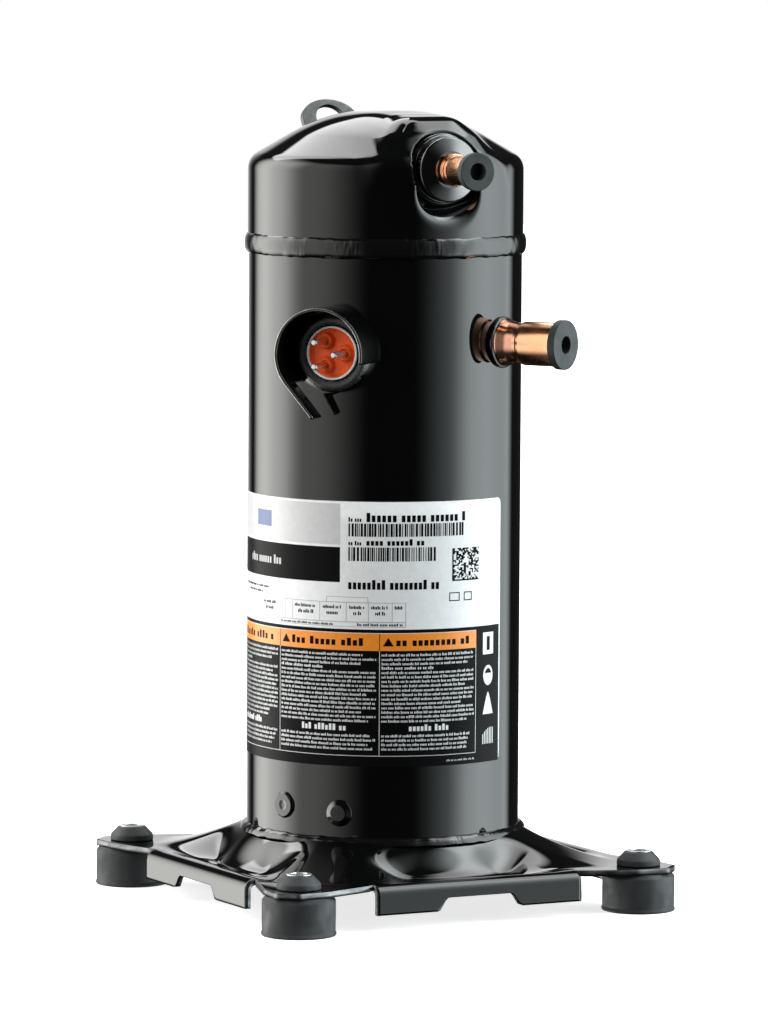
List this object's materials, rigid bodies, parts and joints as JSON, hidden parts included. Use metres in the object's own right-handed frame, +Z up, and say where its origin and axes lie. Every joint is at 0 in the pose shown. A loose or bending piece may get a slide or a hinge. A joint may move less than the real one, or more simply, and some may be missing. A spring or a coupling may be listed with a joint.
{
  "type": "scroll compressor",
  "caption": "Hermetic scroll compressor: upright black pressure shell on a square footed base, with copper line stubs, an electrical terminal, a lifting lug and working scrolls inside.",
  "frame": {"origin": "on the floor, midway between the four rubber feet, under the shell's axis", "axes": "+Z up along the shell and the crankshaft; -Y out through the discharge line; +X to the right when looking along +Y at the discharge side"},
  "size_m": [0.2278, 0.2278, 0.4018],
  "materials": {
    "black_paint": "gloss",
    "bare_steel": "satin",
    "fence_steel": "satin",
    "copper": "polished copper",
    "grey_rubber": "matt",
    "plug_rubber": "matt",
    "zinc_steel": "zinc plated",
    "seal_glass": "gloss",
    "insulator": "moulded",
    "label_film": "printed film",
    "cast_iron": "machined",
    "bearing_bronze": "machined",
    "hard_steel": "ground",
    "cast_aluminium": "die cast",
    "lamination_steel": "stamped",
    "winding_copper": "enamelled wire",
    "black_plastic": "moulded",
    "magnet_ferrite": "sintered"
  },
  "bodies": {
    "housing": {"shell_tube": "black_paint", "bottom_cover": "black_paint", "top_cap": "black_paint", "separator_plate": "bare_steel", "seam_weld": "black_paint", "base_plate": "black_paint", "base_weld": "black_paint", "mounting_grommets": "grey_rubber", "grommet_sleeves": "zinc_steel", "discharge_fitting": "black_paint", "discharge_stub": "copper", "suction_collar": "black_paint", "suction_stub": "copper", "terminal_body": "zinc_steel", "terminal_glass_seals": "seal_glass", "terminal_pins": "zinc_steel", "terminal_insulator": "insulator", "terminal_fence": "fence_steel", "lifting_lug": "bare_steel", "rating_label": "label_film", "bracket_plug_welds": "black_paint", "oil_port_plug": "black_paint", "bearing_housing": "cast_iron", "main_bearing": "bearing_bronze", "scroll_bolts": "zinc_steel", "scroll_bolt_sleeves": "zinc_steel", "lower_bearing_bracket": "bare_steel", "lower_bearing": "bearing_bronze", "stator_core": "lamination_steel", "stator_windings": "winding_copper", "thermal_protector": "black_plastic", "connector_block": "black_plastic", "motor_leads": "black_plastic", "check_valve_seat": "zinc_steel", "check_valve_cage": "zinc_steel", "pressure_relief_valve": "zinc_steel", "suction_baffle": "bare_steel", "sump_magnet": "magnet_ferrite"},
    "crank": {"crankshaft": "hard_steel", "drive_bushing": "hard_steel", "upper_counterweight": "cast_iron", "lower_counterweight": "cast_iron", "rotor_core": "lamination_steel", "rotor_cage": "cast_aluminium", "oil_pickup": "zinc_steel"},
    "orbiting_scroll": {"orbiting_scroll": "cast_iron", "drive_bearing": "bearing_bronze"},
    "thrust_washer": {"thrust_washer": "hard_steel"},
    "oldham_ring": {"oldham_ring": "hard_steel"},
    "fixed_scroll": {"fixed_scroll": "cast_iron"},
    "floating_seal": {"floating_seal": "cast_iron"},
    "check_valve_disc": {"check_valve_disc": "hard_steel"},
    "suction_plug": {"suction_plug": "plug_rubber"},
    "discharge_plug": {"discharge_plug": "plug_rubber"}
  },
  "joints": [
    {"name": "shaft_spin", "type": "hinge", "parent": "housing", "child": "crank", "pos_m": [0, 0, 0.15], "axis": [0, 0, 1], "continuous": true},
    {"name": "orbiting_scroll_turn", "type": "hinge", "parent": "crank", "child": "orbiting_scroll", "pos_m": [0.0034, 0, 0.27], "axis": [0, 0, 1], "continuous": true},
    {"name": "thrust_washer_float", "type": "hinge", "parent": "crank", "child": "thrust_washer", "pos_m": [0.0017, 0, 0.279], "axis": [0, 0, 1], "continuous": true},
    {"name": "oldham_slide", "type": "hinge", "parent": "thrust_washer", "child": "oldham_ring", "pos_m": [0.0034, 0, 0.273], "axis": [0, 0, 1], "continuous": true},
    {"name": "fixed_scroll_lift", "type": "slide", "parent": "housing", "child": "fixed_scroll", "axis": [0, 0, 1], "range_m": [0, 0.0008]},
    {"name": "floating_seal_lift", "type": "slide", "parent": "fixed_scroll", "child": "floating_seal", "axis": [0, 0, 1], "range_m": [0, 0.0012]},
    {"name": "check_valve_lift", "type": "slide", "parent": "housing", "child": "check_valve_disc", "axis": [0, 0, 1], "range_m": [0, 0.003]},
    {"name": "suction_plug_pull", "type": "slide", "parent": "housing", "child": "suction_plug", "axis": [0.515, -0.8572, 0], "range_m": [0, 0.06]},
    {"name": "discharge_plug_pull", "type": "slide", "parent": "housing", "child": "discharge_plug", "axis": [0, -1, 0], "range_m": [0, 0.06]}
  ],
  "couplings": [
    {"joint": "orbiting_scroll_turn", "follows": "shaft_spin", "ratio": -1},
    {"joint": "thrust_washer_float", "follows": "shaft_spin", "ratio": -2},
    {"joint": "oldham_slide", "follows": "shaft_spin", "ratio": 1}
  ]
}
